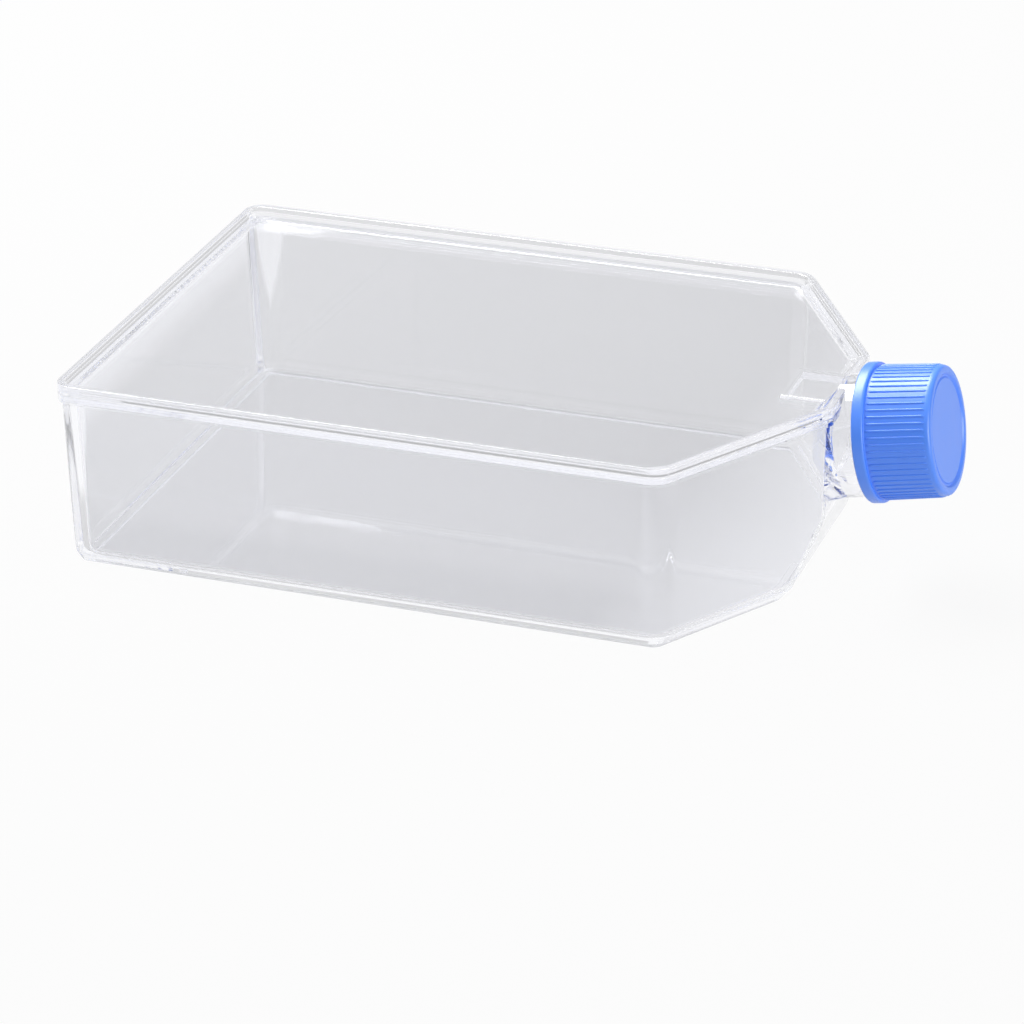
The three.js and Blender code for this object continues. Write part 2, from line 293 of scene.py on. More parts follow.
# %% [markdown]
# Mouldings are then added and cut with Boolean modifiers, in millimetres, where the solver has the
# most digits to work with. The result becomes a plain mesh in metres in the frame's own place.

# %% Adding and cutting
def as_object(name, mesh):
    data = bpy.data.meshes.new(name)
    if isinstance(mesh, bmesh.types.BMesh):
        bmesh.ops.recalc_face_normals(mesh, faces=mesh.faces)
        mesh.to_mesh(data)
        mesh.free()
    else:
        data = mesh
    made = bpy.data.objects.new(name, data)
    bpy.context.scene.collection.objects.link(made)
    return made


def combined(name, start, *changes):
    """The start mesh with each (operation, mesh) applied to it in turn."""
    base = as_object(name, start)
    tools = []
    for i, (operation, mesh) in enumerate(changes):
        tool = as_object(f"{name}_tool_{i}", mesh)
        tools.append(tool)
        change = base.modifiers.new(f"change {i}", "BOOLEAN")
        change.operation = operation
        change.object = tool
        change.solver = "MANIFOLD"
    bpy.context.view_layer.update()
    evaluated = base.evaluated_get(bpy.context.evaluated_depsgraph_get())
    result = bpy.data.meshes.new_from_object(evaluated)
    for spent in [base, *tools]:
        bpy.data.objects.remove(spent)
    return result


def triangle_count(mesh):
    return sum(len(face.vertices) - 2 for face in mesh.polygons)


SHARP = math.radians(31)


def finished(name, mesh, place, material):
    """The piece in metres, with smooth rounds whose normals leave the flat walls flat."""
    work = bmesh.new()
    work.from_mesh(mesh)
    work.transform(Matrix.Diagonal((MM, MM, MM, 1)) @ place)
    bmesh.ops.remove_doubles(work, verts=work.verts, dist=2e-7)
    bmesh.ops.dissolve_degenerate(work, edges=work.edges, dist=2e-7)
    for face in work.faces:
        face.smooth = True
        face.material_index = 0
    clean = bpy.data.meshes.new(name)
    work.to_mesh(clean)
    work.free()
    clean.set_sharp_from_angle(angle=SHARP)
    made = as_object(name, clean)
    made.data.materials.append(material)
    weigh = made.modifiers.new("flat faces lead", "WEIGHTED_NORMAL")
    weigh.keep_sharp = True
    weigh.weight = 80
    bpy.context.view_layer.update()
    evaluated = made.evaluated_get(bpy.context.evaluated_depsgraph_get())
    plain = bpy.data.meshes.new_from_object(evaluated)
    made.modifiers.clear()
    made.data = plain
    plain.name = name
    print(name, triangle_count(plain), "triangles")
    return made


TO_FRAME = Matrix.Translation((MIDDLE, 0, 0))
NECK = Matrix.Translation((FRONT, 0, NECK_HEIGHT)) @ Matrix.Rotation(math.pi / 2 - CANT, 4, "Y")
COLLAR_PLACE = NECK @ Matrix.Translation((COLLAR_DROP, 0, 0))


def placed(mesh, place):
    mesh.transform(place)
    return mesh


print("neck's axis leaves the rim at", [round(v, 2) for v in NECK.translation], "mm")

# %% [markdown]
# Two finishes cover the whole flask. Both are injection mouldings, and a mould never leaves a
# perfectly flat face: the plastic shrinks a little as it cools, in soft waves a centimetre or two
# long with a finer ripple over them. One node group makes that relief, and both plastics use it.

# %% The moulded relief that both plastics share
def add_sockets(tree, inputs, outputs):
    for name, kind, value in inputs:
        socket = tree.interface.new_socket(name, in_out="INPUT", socket_type=kind)
        if value is not None:
            socket.default_value = value
    for name, kind in outputs:
        tree.interface.new_socket(name, in_out="OUTPUT", socket_type=kind)


def maths(tree, operation, first, second):
    node = tree.nodes.new("ShaderNodeMath")
    node.operation = operation
    for socket, source in zip(node.inputs, (first, second)):
        if isinstance(source, (int, float)):
            socket.default_value = source
        else:
            tree.links.new(source, socket)
    return node.outputs[0]


def make_moulded_relief():
    tree = bpy.data.node_groups.new("moulded_relief", "ShaderNodeTree")
    add_sockets(
        tree,
        [
            ("Wave Scale", "NodeSocketFloat", 60.0),
            ("Ripple Scale", "NodeSocketFloat", 900.0),
            ("Ripple Share", "NodeSocketFloat", 0.2),
        ],
        [("Height", "NodeSocketFloat"), ("Mottle", "NodeSocketFloat")],
    )
    nodes, links = tree.nodes, tree.links
    given = nodes.new("NodeGroupInput")
    put = nodes.new("NodeGroupOutput")
    place = nodes.new("ShaderNodeTexCoord")
    waves = nodes.new("ShaderNodeTexNoise")
    waves.inputs["Detail"].default_value = 1.5
    ripple = nodes.new("ShaderNodeTexNoise")
    ripple.inputs["Detail"].default_value = 2.0
    for texture, scale in ((waves, "Wave Scale"), (ripple, "Ripple Scale")):
        links.new(place.outputs["Object"], texture.inputs["Vector"])
        links.new(given.outputs[scale], texture.inputs["Scale"])
    join = nodes.new("ShaderNodeMix")
    join.data_type = "FLOAT"
    links.new(given.outputs["Ripple Share"], join.inputs["Factor"])
    links.new(waves.outputs["Fac"], join.inputs["A"])
    links.new(ripple.outputs["Fac"], join.inputs["B"])
    links.new(join.outputs["Result"], put.inputs["Height"])
    links.new(waves.outputs["Fac"], put.inputs["Mottle"])
    return tree


moulded_relief = make_moulded_relief()
print("moulded_relief has", len(moulded_relief.nodes), "nodes")

# %% [markdown]
# Clear polystyrene bends light more than window glass does, with an index of 1.59, and it is very
# slightly grey. The walls are real walls with two faces, so the refraction is left to the shader.
# Rays on their way to a lamp, and rays already scattered by the floor, pass straight through: clear
# plastic casts a pale shadow, and its light would otherwise be counted twice, bent and straight.

# %% Clear polystyrene
CLEAR_TINT = (0.962, 0.966, 0.988, 1)
CLEAR_SHADOW = (0.985, 0.985, 0.987, 1)
CLEAR_INDEX = 1.59


def make_clear_polystyrene():
    material = bpy.data.materials.new("clear_polystyrene")
    material.use_nodes = True
    tree = material.node_tree
    nodes, links = tree.nodes, tree.links
    plastic = nodes["Principled BSDF"]
    plastic.inputs["Base Color"].default_value = CLEAR_TINT
    plastic.inputs["Roughness"].default_value = 0.015
    plastic.inputs["IOR"].default_value = CLEAR_INDEX
    plastic.inputs["Transmission Weight"].default_value = 1
    relief = nodes.new("ShaderNodeGroup")
    relief.node_tree = moulded_relief
    relief.inputs["Wave Scale"].default_value = 30
    relief.inputs["Ripple Scale"].default_value = 120
    relief.inputs["Ripple Share"].default_value = 0.1
    bump = nodes.new("ShaderNodeBump")
    bump.inputs["Strength"].default_value = 0.02
    bump.inputs["Distance"].default_value = 0.001
    links.new(relief.outputs["Height"], bump.inputs["Height"])
    links.new(bump.outputs["Normal"], plastic.inputs["Normal"])
    through = nodes.new("ShaderNodeBsdfTransparent")
    through.inputs["Color"].default_value = CLEAR_SHADOW
    path = nodes.new("ShaderNodeLightPath")
    shadow, scattered = path.outputs["Is Shadow Ray"], path.outputs["Diffuse Depth"]
    unbent = maths(tree, "MAXIMUM", shadow, scattered)
    choose = nodes.new("ShaderNodeMixShader")
    links.new(unbent, choose.inputs["Fac"])
    links.new(plastic.outputs["BSDF"], choose.inputs[1])
    links.new(through.outputs["BSDF"], choose.inputs[2])
    links.new(choose.outputs["Shader"], nodes["Material Output"].inputs["Surface"])
    return material


clear_polystyrene = make_clear_polystyrene()
print("clear polystyrene has an index of", CLEAR_INDEX)

# %% [markdown]
# The cap is blue polyethylene: waxy rather than glossy, a little translucent, with a fine grain
# from the mould. Its colour is nearly even, so only a faint mottle moves it, and the roughness
# drifts with the same mottle so that the sheen isn't perfectly flat.

# %% Blue polyethylene
BLUE = (0.052, 0.235, 0.98, 1)
BLUE_LIGHT = (0.066, 0.264, 1.0, 1)
BLUE_INDEX = 1.51
WAXY_ROUGHNESS = (0.32, 0.4)


def make_blue_polyethylene():
    material = bpy.data.materials.new("blue_polyethylene")
    material.use_nodes = True
    nodes, links = material.node_tree.nodes, material.node_tree.links
    plastic = nodes["Principled BSDF"]
    plastic.inputs["IOR"].default_value = BLUE_INDEX
    plastic.inputs["Specular IOR Level"].default_value = 1
    relief = nodes.new("ShaderNodeGroup")
    relief.node_tree = moulded_relief
    relief.inputs["Wave Scale"].default_value = 220
    relief.inputs["Ripple Scale"].default_value = 5200
    relief.inputs["Ripple Share"].default_value = 0.55
    colour = nodes.new("ShaderNodeMix")
    colour.data_type = "RGBA"
    colour.inputs["A"].default_value = BLUE
    colour.inputs["B"].default_value = BLUE_LIGHT
    links.new(relief.outputs["Mottle"], colour.inputs["Factor"])
    links.new(colour.outputs["Result"], plastic.inputs["Base Color"])
    sheen = nodes.new("ShaderNodeMapRange")
    sheen.inputs["To Min"].default_value = WAXY_ROUGHNESS[0]
    sheen.inputs["To Max"].default_value = WAXY_ROUGHNESS[1]
    links.new(relief.outputs["Mottle"], sheen.inputs["Value"])
    links.new(sheen.outputs["Result"], plastic.inputs["Roughness"])
    bump = nodes.new("ShaderNodeBump")
    bump.inputs["Strength"].default_value = 0.12
    bump.inputs["Distance"].default_value = 0.0002
    links.new(relief.outputs["Height"], bump.inputs["Height"])
    links.new(bump.outputs["Normal"], plastic.inputs["Normal"])
    return material


blue_polyethylene = make_blue_polyethylene()
print("finishes:", clear_polystyrene.name, blue_polyethylene.name)

# %% [markdown]
# The tray is one moulding with its neck. Its walls lean in by their draft so that it leaves the
# mould, the foot tapers further so that it drops inside the rim of a flask below, and the floor is
# raised inside that foot, which keeps the growth surface off the bench. The inside is a second
# loft, cut out of the first, with the broad fillet round the floor that a pipette tip follows. Its
# upright corners may be rounder than the outer ones: the extra millimetres for each corner make
# the plastic thicker there, and the corner then shows as a broad bright band, not as a thread.

# %% The tray's profiles
SLANT = math.atan(SLANT_DEPTH / SLANT_HEIGHT)
ROUNDER = (0, 2, 6, 4, 6, 0)  # one for each corner, from the far front corner round by the back


def wall_inset(z):
    return FLANGE_OVERHANG + max(FLANGE_BOTTOM - z, 0) * math.tan(WALL_DRAFT)


FOOT_TAPER = PLUG_INSET + RIM_WALL + SEAT_GAP - wall_inset(0)


def wall_point(z, depth, extra=0):
    """(inset, inset at the front, z) of a wall `depth` inside its outer face."""
    inset = wall_inset(z) + depth + extra
    slant_top = SLANT_HEIGHT + depth * math.tan(SLANT / 2)
    return inset, inset + max(slant_top - z, 0) * math.tan(SLANT), z


def tray_outside():
    kink = wall_point(SLANT_HEIGHT, 0)
    profile = softened([
        (wall_point(0, 0, FOOT_TAPER + FOOT_WIDTH / 2), 0),
        (wall_point(0, 0, FOOT_TAPER), 0.5),
        (wall_point(NESTING_DEPTH, 0), 1.2),
        (kink, 1.0),
        (wall_point(FLANGE_BOTTOM, 0), 0.5),
        ((0, 0, FLANGE_BOTTOM), 0.4),
        ((0, 0, TRAY_TOP), 0.25),
        ((1.2, 1.2, TRAY_TOP), 0),
    ])
    return loft([outline(*point) for point in profile])


def tray_inside():
    top = FLANGE_BOTTOM
    profile = softened([
        (wall_point(FLOOR_TOP, WALL, FLOOR_FILLET * 2), 0),
        (wall_point(FLOOR_TOP, WALL), FLOOR_FILLET),
        (wall_point(SLANT_HEIGHT + WALL * math.tan(SLANT / 2), WALL), 1.0),
        (wall_point(top, WALL), 0),
        (wall_point(FLASK_HEIGHT * 2, WALL), 0),
    ], steps=7)
    return loft([outline(*point, ROUNDER) for point in profile])


def tray_recess():
    inside = FOOT_TAPER + FOOT_WIDTH
    heights_and_steps = [(-1, 0), (0, 0), (RECESS - 0.4, 0.1), (RECESS - 0.1, 0.25), (RECESS, 0.6)]
    return loft([outline(*wall_point(z, 0, inside + step)) for z, step in heights_and_steps])


print("foot tapers by", round(FOOT_TAPER, 2), "mm under the draft")

# %% [markdown]
# The neck is canted upwards by ten degrees, so that the flask can be filled to its brim and poured
# to its last drop. Its collar runs into the front wall through a root that fans out to the corners,
# and a small pointed gusset stiffens each side. The thread could be a screw modifier's, but a swept
# ridge can fade at both ends, as a moulded one does.

# %% The neck
def collar_solid():
    profile = softened([
        ((COLLAR, -SHOULDER_LENGTH / 3), 0),
        ((COLLAR, COLLAR_LENGTH), 0.8),
        ((NECK_CORE - 1, COLLAR_LENGTH), 0),
    ])
    return placed(turned(profile), COLLAR_PLACE)


def neck_tube():
    profile = softened([
        ((NECK_CORE, 0), 0),
        ((NECK_CORE, NECK_LENGTH), 0.7),
        ((BORE - 1, NECK_LENGTH), 0),
    ])
    return placed(turned(profile), NECK)


def bore_rod():
    profile = softened([
        ((BORE, -SHOULDER_LENGTH / 3), 0),
        ((BORE, NECK_LENGTH - 0.6), 0.6),
        ((BORE + 0.6, NECK_LENGTH + 0.1), 0),
        ((BORE + 0.6, NECK_LENGTH + 1), 0),
    ])
    return placed(turned(profile), NECK)


def helix(radius, turns, pitch, start, ridge, fade=0.16, per_turn=96):
    """A ridge wound about Z. `ridge` gives its section as (along, outward share) points."""
    steps = round(turns * per_turn)
    rings = []
    for step in range(steps + 1):
        angle = math.tau * step / per_turn
        share = min(1, min(step, steps - step) / (per_turn * fade))
        rise = math.sin(share * math.pi / 2)
        height = start + pitch * step / per_turn
        ring = []
        for along, inner, outer in ridge:
            r = radius + inner + outer * rise
            ring.append((r * math.cos(angle), r * math.sin(angle), height + along))
        rings.append(ring)
    return loft(rings)


def neck_thread():
    base, crest = THREAD_BASE / 2, THREAD_CREST / 2
    sunk, high = -0.5, THREAD_HEIGHT
    ridge = [(-base, sunk, 0), (base, sunk, 0), (base * 0.92, 0, 0.1), (crest, -0.1, high * 0.94)]
    ridge += [(crest * 0.5, -0.1, high + 0.1), (-crest * 0.5, -0.1, high + 0.1)]
    ridge += [(-crest, -0.1, high * 0.94), (-base * 0.92, 0, 0.1)]
    start = NECK_LENGTH - THREAD_INSET - THREAD_TURNS * THREAD_PITCH
    return placed(helix(NECK_CORE, THREAD_TURNS, THREAD_PITCH, start, ridge), NECK)


def on_shoulder(hand, back, rise, depth=0):
    """A point on a shoulder wall, from its front corner and from the neck's axis."""
    z = NECK_HEIGHT + rise
    inset = wall_inset(z) + depth
    x, y = crossing(NEAR_SHOULDER, FRONT_SIDE, inset, inset)
    x -= back * math.sin(SHOULDER_ANGLE)
    y -= back * math.cos(SHOULDER_ANGLE)
    return Vector((x, -y * hand, z))


def neck_root():
    top = TRAY_TOP - TRAY_FLANGE / 2
    ring = [COLLAR_PLACE @ Vector(p) for p in circle(COLLAR - 0.15, ROOT_REACH, 72)]
    low = [on_shoulder(hand, ROOT_BACK, -ROOT_FALL) for hand in (-1, 1)]
    high = [on_shoulder(hand, ROOT_BACK, top - NECK_HEIGHT) for hand in (-1, 1)]
    inside_rim = block(0, FRONT * 2, RIM_WIDTH, 0, top)
    return combined("root", hull(ring + low + high), ("INTERSECT", inside_rim))


def gusset(hand):
    beside = COLLAR_PLACE @ Vector((0, hand * COLLAR, 0))
    return hull([
        on_shoulder(hand, GUSSET_BACK, (GUSSET_RISE - GUSSET_FALL) / 2),
        on_shoulder(hand, GUSSET_SIDE, GUSSET_RISE),
        on_shoulder(hand, GUSSET_SIDE, -GUSSET_FALL),
        on_shoulder(hand, 0, 0, WALL / 2),
        beside,
    ])


print("neck", round(NECK_LENGTH, 2), "mm long, canted by", round(math.degrees(CANT)), "degrees")

# %% [markdown]
# All of it is one clear piece, so the parts are added, the inside and the bore are cut out, and one
# skin is left, as in the mould. A gap in the foot lets the pad of a flask below pass.

# %% The flask body
pad_way = block(LID_FRONT - PAD_LENGTH, FRONT, PAD_WIDTH + 2 * SEAT_GAP, -1, RECESS)
flask_mesh = combined(
    "flask_body_clear",
    tray_outside(),
    ("UNION", collar_solid()),
    ("UNION", neck_tube()),
    ("UNION", neck_thread()),
    ("UNION", neck_root()),
    ("UNION", gusset(-1)),
    ("UNION", gusset(1)),
    ("DIFFERENCE", tray_inside()),
    ("DIFFERENCE", bore_rod()),
    ("DIFFERENCE", tray_recess()),
    ("DIFFERENCE", pad_way),
)
flask_body_clear = finished("flask_body_clear", flask_mesh, TO_FRAME, clear_polystyrene)
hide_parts("flask_body")
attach(flask_body_clear, "flask")

# %% [markdown]
# The plate is the lid of the tray. Its plug drops inside the walls, its flange lies on the tray's
# flange, and the rim stands up all round so that a second flask can't slide off. Over the neck it
# is lifted into a flat pad, because the bore is taller than the plate is high.

# %% The top plate
def plate_solid():
    thick = PLUG_INSET + RIM_WALL
    front_thick = PLUG_INSET + FRONT_RIM_WALL
    profile = softened([
        ((PLUG_INSET + 2, PLUG_INSET + 2, PLATE_BOTTOM), 0),
        ((PLUG_INSET, PLUG_INSET, PLATE_BOTTOM), 0.4),
        ((PLUG_INSET, PLUG_INSET, TRAY_TOP + WELD_GAP), 0.15),
        ((0, 0, TRAY_TOP + WELD_GAP), 0.3),
        ((0, 0, FLASK_HEIGHT), 0.5),
        ((RIM_TOP, RIM_TOP, FLASK_HEIGHT), 0.4),
        ((thick, front_thick, PLATE_TOP), 0.9),
        ((thick + 3, front_thick + 3, PLATE_TOP), 0),
    ])
    return loft([outline(*point) for point in profile])


def pad_solid():
    rings = []
    for z, edge in ((PLATE_TOP - 1, 0), (PAD_TOP - 0.4, 0), (PAD_TOP - 0.12, 0.12), (PAD_TOP, 0.4)):
        back, side = LID_FRONT - PAD_LENGTH + edge, PAD_WIDTH / 2 - edge
        corners = [(LID_FRONT, side), (back, side), (back, -side), (LID_FRONT, -side)]
        rings.append([(x, y, z) for x, y in corners])
    return loft(rings)


room = COLLAR + SEAT_GAP
around_neck = placed(turned([(room, -SHOULDER_LENGTH / 2), (room, NECK_LENGTH)]), COLLAR_PLACE)
open_space = combined(
    "open_space",
    block(LID_FRONT, FRONT * 2, RIM_WIDTH, 0, FLASK_HEIGHT * 2),
    ("UNION", block(0, FRONT, RIM_WIDTH, PAD_TOP, FLASK_HEIGHT * 2)),
    ("INTERSECT", around_neck),
)
channel_back = LID_FRONT - PAD_LENGTH + PAD_SIDE
channel_width = PAD_WIDTH - 2 * PAD_SIDE
channel = block(channel_back, FRONT, channel_width, PLATE_BOTTOM - 1, PAD_TOP - PAD_ROOF)
plate_mesh = combined(
    "top_plate_clear",
    plate_solid(),
    ("DIFFERENCE", open_space),
    ("UNION", pad_solid()),
    ("DIFFERENCE", channel),
)
top_plate_clear = finished("top_plate_clear", plate_mesh, TO_FRAME, clear_polystyrene)
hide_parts("top_plate")
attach(top_plate_clear, "flask")

# %% [markdown]
# The cap is turned about the neck's axis: up the outside from the skirt's smooth ring, over a soft
# edge to the end face with its sunk panel, then back down the inside round the seal ring that plugs
# the bore. The profile is closed, so no Boolean is needed.

# %% The cap's shell
RIB_START = CAP_START + CAP_RING_HEIGHT + 0.5
RIB_END = CAP_END - 1.5
END_RADIUS = CAP_RADIUS - (CAP_END - RIB_START) * math.tan(CAP_TAPER)
SEAL = BORE - SEAT_GAP
SEAL_WALL = 1.3
SEAL_DEPTH = 4.6
PANEL_RADIUS = 13.9
PANEL_SINK = 0.35
GROOVE = (14.2, 14.7)
GROOVE_SINK = 0.75


def cap_shell():
    under = CAP_END - CAP_TOP
    ring_top = CAP_START + CAP_RING_HEIGHT
    profile = softened([
        ((0.5, CAP_END - PANEL_SINK), 0),
        ((PANEL_RADIUS, CAP_END - PANEL_SINK), 0.15),
        ((GROOVE[0], CAP_END - GROOVE_SINK), 0.2),
        ((GROOVE[1], CAP_END - GROOVE_SINK), 0.2),
        ((GROOVE[1] + 0.5, CAP_END), 0.4),
        ((END_RADIUS + 0.1, CAP_END), 1.6),
        ((CAP_RADIUS, RIB_START), 0.3),
        ((CAP_RADIUS, ring_top), 0.2),
        ((CAP_RING, ring_top), 0.8),
        ((CAP_RING, CAP_START), 0.5),
        ((CAP_BORE + 0.4, CAP_START), 0.3),
        ((CAP_BORE, CAP_START + 0.8), 0.3),
        ((CAP_BORE, under), 0.6),
        ((SEAL, under), 0.3),
        ((SEAL, under - SEAL_DEPTH / 2), 0.5),
        ((SEAL - SEAL_WALL / 3, under - SEAL_DEPTH), 0.4),
        ((SEAL - SEAL_WALL, under - SEAL_DEPTH), 0.4),
        ((SEAL - SEAL_WALL, under), 0.4),
        ((0.5, under), 0),
    ])
    return turned(list(reversed(profile)), 180)


print("cap tapers from", CAP_RADIUS, "to", round(END_RADIUS, 2), "mm in radius")

# %% [markdown]
# The sixty ribs that the fingers grip are one rib repeated round the axis, which is what Geometry
# Nodes do best. A cylinder is squeezed into a low rounded bar whose ends run out, moved out to the
# skirt and tilted with its taper, then set on one point for each rib and turned by its number.

# %% The ribs, as Geometry Nodes
def make_rib_tree():
    tree = bpy.data.node_groups.new("cap_ribs", "GeometryNodeTree")
    add_sockets(
        tree,
        [
            ("Geometry", "NodeSocketGeometry", None),
            ("Count", "NodeSocketInt", 60),
            ("Foot Radius", "NodeSocketFloat", 17.75),
            ("Start", "NodeSocketFloat", 0.0),
            ("Length", "NodeSocketFloat", 16.0),
            ("Height", "NodeSocketFloat", 0.55),
            ("Half Width", "NodeSocketFloat", 0.45),
            ("End Round", "NodeSocketFloat", 0.9),
            ("Slope", "NodeSocketFloat", 0.024),
            ("Finish", "NodeSocketMaterial", None),
        ],
        [("Geometry", "NodeSocketGeometry")],
    )
    nodes, links = tree.nodes, tree.links
    given = nodes.new("NodeGroupInput")
    put = nodes.new("NodeGroupOutput")

    def value(source):
        return given.outputs[source] if isinstance(source, str) else source

    def maths(operation, first, second=None, clamp=False):
        node = nodes.new("ShaderNodeMath")
        node.operation = operation
        node.use_clamp = clamp
        for socket, source in zip(node.inputs, (first, second)):
            if isinstance(source, (int, float)):
                socket.default_value = source
            elif source is not None:
                links.new(value(source), socket)
        return node.outputs[0]

    bar = nodes.new("GeometryNodeMeshCylinder")
    bar.inputs["Vertices"].default_value = 14
    bar.inputs["Side Segments"].default_value = 40
    bar.inputs["Radius"].default_value = 1
    links.new(given.outputs["Length"], bar.inputs["Depth"])
    position = nodes.new("GeometryNodeInputPosition")
    parts = nodes.new("ShaderNodeSeparateXYZ")
    links.new(position.outputs["Position"], parts.inputs["Vector"])
    x, y, z = (parts.outputs[i] for i in range(3))
    half = maths("MULTIPLY", "Length", 0.5)
    past = maths("SUBTRACT", maths("ABSOLUTE", z), maths("SUBTRACT", half, "End Round"))
    share = maths("DIVIDE", past, "End Round", clamp=True)
    fade = maths("SQRT", maths("SUBTRACT", 1.0001, maths("MULTIPLY", share, share), clamp=True))
    along = maths("ADD", z, half)
    foot = maths("SUBTRACT", "Foot Radius", maths("MULTIPLY", along, "Slope"))
    out = maths("ADD", foot, maths("MULTIPLY", maths("MULTIPLY", x, "Height"), fade))
    side = maths("MULTIPLY", maths("MULTIPLY", y, "Half Width"), fade)
    height = maths("ADD", along, "Start")
    together = nodes.new("ShaderNodeCombineXYZ")
    for i, source in enumerate((out, side, height)):
        links.new(source, together.inputs[i])
    move = nodes.new("GeometryNodeSetPosition")
    links.new(bar.outputs["Mesh"], move.inputs["Geometry"])
    links.new(together.outputs["Vector"], move.inputs["Position"])
    points = nodes.new("GeometryNodePoints")
    links.new(given.outputs["Count"], points.inputs["Count"])
    number = nodes.new("GeometryNodeInputIndex")
    turn = maths("MULTIPLY", maths("DIVIDE", number.outputs["Index"], "Count"), math.tau)
    spin = nodes.new("ShaderNodeCombineXYZ")
    links.new(turn, spin.inputs["Z"])
    set_on = nodes.new("GeometryNodeInstanceOnPoints")
    links.new(points.outputs["Points"], set_on.inputs["Points"])
    links.new(move.outputs["Geometry"], set_on.inputs["Instance"])
    links.new(spin.outputs["Vector"], set_on.inputs["Rotation"])
    join = nodes.new("GeometryNodeJoinGeometry")
    links.new(set_on.outputs["Instances"], join.inputs["Geometry"])
    links.new(given.outputs["Geometry"], join.inputs["Geometry"])
    real = nodes.new("GeometryNodeRealizeInstances")
    links.new(join.outputs["Geometry"], real.inputs["Geometry"])
    finish = nodes.new("GeometryNodeSetMaterial")
    links.new(real.outputs["Geometry"], finish.inputs["Geometry"])
    links.new(given.outputs["Finish"], finish.inputs["Material"])
    links.new(finish.outputs["Geometry"], put.inputs["Geometry"])
    return tree


def with_nodes(mesh, name, tree, **sizes):
    """The mesh after a Geometry Nodes tree, with its named inputs set, as a plain mesh."""
    carrier = as_object(name, mesh)
    modifier = carrier.modifiers.new(name, "NODES")
    modifier.node_group = tree
    for item in tree.interface.items_tree:
        key = item.name.replace(" ", "_")
        if item.in_out == "INPUT" and key in sizes:
            modifier[item.identifier] = sizes[key]
    bpy.context.view_layer.update()
    evaluated = carrier.evaluated_get(bpy.context.evaluated_depsgraph_get())
    result = bpy.data.meshes.new_from_object(evaluated)
    bpy.data.objects.remove(carrier)
    return result


print("one rib every", 360 / RIB_COUNT, "degrees")

# %% [markdown]
# Inside the skirt a shallow ridge stands for the cap's own thread. It is kept low enough to pass
# the neck's thread when the cap is drawn straight off.

# %% The screw cap
SKIRT_THREAD_TURNS = 2
SKIRT_THREAD_START = 4.2
RIB_HALF_WIDTH = 0.32
RIB_END_ROUND = 0.9


def skirt_thread():
    ridge = [(0.9, 0.4, 0), (-0.9, 0.4, 0), (-0.35, 0, -0.3), (0.35, 0, -0.3)]
    start = CAP_START + SKIRT_THREAD_START
    return helix(CAP_BORE, SKIRT_THREAD_TURNS, THREAD_PITCH, start, ridge)


cap_mesh = with_nodes(
    cap_shell(),
    "cap_ribs",
    make_rib_tree(),
    Count=RIB_COUNT,
    Foot_Radius=CAP_RADIUS - 0.02,
    Start=RIB_START - 0.1,
    Length=RIB_END - RIB_START + 0.2,
    Height=RIB_HEIGHT,
    Half_Width=RIB_HALF_WIDTH,
    End_Round=RIB_END_ROUND,
    Slope=math.tan(CAP_TAPER),
    Finish=blue_polyethylene,
)
cap_all = bmesh.new()
cap_all.from_mesh(cap_mesh)
thread_data = bpy.data.meshes.new("skirt_thread")
thread_mesh = skirt_thread()
bmesh.ops.recalc_face_normals(thread_mesh, faces=thread_mesh.faces)
thread_mesh.to_mesh(thread_data)
cap_all.from_mesh(thread_data)
cap_joined = bpy.data.meshes.new("cap_joined")
cap_all.to_mesh(cap_joined)
screw_cap_blue = finished("screw_cap_blue", cap_joined, TO_FRAME @ NECK, blue_polyethylene)
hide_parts("screw_cap")
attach(screw_cap_blue, "cap")

# %% [markdown]
# The studio is a white floor under a white sky, with a grey card under the flask. Looked at
# directly all of it is white, while the lamps keep a plain level on the flask. Through the plastic
# and in its gloss the card shows as grey and all round it stays white. That is how clear ware is
# lit in a studio: the grey ground makes the walls read as a soft grey, and every rounded edge picks
# up the white round about it as a bright line. The card fades out towards the neck, so that the
# shoulder wall, through which that end is seen, comes out lighter than the long wall beside it.
# Light that was mirrored several times inside the plastic ran along its edges, and finds white.

# %% The floor and its card
FLOOR_GREY = (0.465, 0.465, 0.465, 1)
FLOOR_GLOW = 0.92
CARD_MIDDLE = (-0.02, 0.045)
CARD_HALF = (0.125, 0.13)
CARD_EDGE = 0.015
CARD_FADE = (0.031, 0.095)
EDGE_MIRRORINGS = 2.5
FLOOR_SIZE = 8
FLOOR_DROP = 0.0002


def rising(tree, source, start, end, low=0, high=1, soft=False):
    """A value that rises from low to high while the source goes from start to end."""
    node = tree.nodes.new("ShaderNodeMapRange")
    if soft:
        node.interpolation_type = "SMOOTHSTEP"
    for name, number in (("From Min", start), ("From Max", end), ("To Min", low), ("To Max", high)):
        node.inputs[name].default_value = number
    tree.links.new(source, node.inputs["Value"])
    return node.outputs["Result"]


def mirrored_or_through(tree, path):
    mirrored, through = path.outputs["Is Glossy Ray"], path.outputs["Is Transmission Ray"]
    return maths(tree, "MAXIMUM", mirrored, through)


